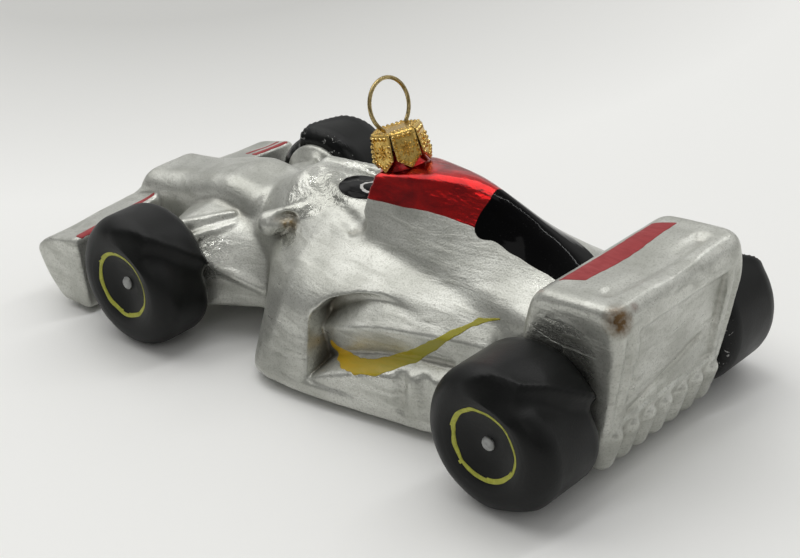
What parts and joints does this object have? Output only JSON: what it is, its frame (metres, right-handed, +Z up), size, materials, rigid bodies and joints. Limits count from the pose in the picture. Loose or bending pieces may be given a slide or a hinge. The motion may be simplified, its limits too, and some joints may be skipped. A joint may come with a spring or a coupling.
{
  "type": "blown glass racing car hanging ornament",
  "caption": "Silvered blown glass hanging ornament in the form of an open wheel racing car, with a stamped crown cap that pulls off its neck and a wire hanger.",
  "frame": {"origin": "on the ground under the middle of the ornament's length and width", "axes": "+Y towards the tail of the car, so that it faces -Y, +X to its left, +Z up"},
  "size_m": [0.0696, 0.1389, 0.0547],
  "materials": {
    "silvered_glass": "frosted silver lacquer over blown glass",
    "red_lacquer": "transparent red lacquer over silvered glass",
    "black_lacquer": "glossy black lacquer over glass",
    "tyre_black": "satin black paint over glass",
    "gold_cap": "stamped gold-coloured sheet",
    "brass_wire": "drawn spring wire"
  },
  "bodies": {
    "glass": {"cockpit_opening": "black_lacquer", "cowl": "silvered_glass", "diffuser_ribs": "silvered_glass", "engine_cover": "red_lacquer", "flanks": "silvered_glass", "front_wing": "silvered_glass", "mirror_left": "silvered_glass", "mirror_right": "silvered_glass", "neck": "silvered_glass", "nose": "silvered_glass", "rear_wing": "silvered_glass", "sidepod_left": "silvered_glass", "sidepod_right": "silvered_glass", "spine": "black_lacquer", "tub": "silvered_glass", "tyre_front_left": "tyre_black", "tyre_front_right": "tyre_black", "tyre_rear_left": "tyre_black", "tyre_rear_right": "tyre_black", "upright_front_left": "silvered_glass", "upright_front_right": "silvered_glass", "wishbones_left": "silvered_glass", "wishbones_right": "silvered_glass"},
    "cap": {"crown_cap": "gold_cap"},
    "hanger": {"hanger": "brass_wire"}
  },
  "joints": [
    {"name": "cap_pull", "type": "slide", "parent": "glass", "child": "cap", "axis": [0, -0.2756, 0.9613], "range_m": [0, 0.013]},
    {"name": "hanger_lift", "type": "slide", "parent": "cap", "child": "hanger", "axis": [0, -0.2756, 0.9613], "range_m": [0, 0.004]}
  ]
}
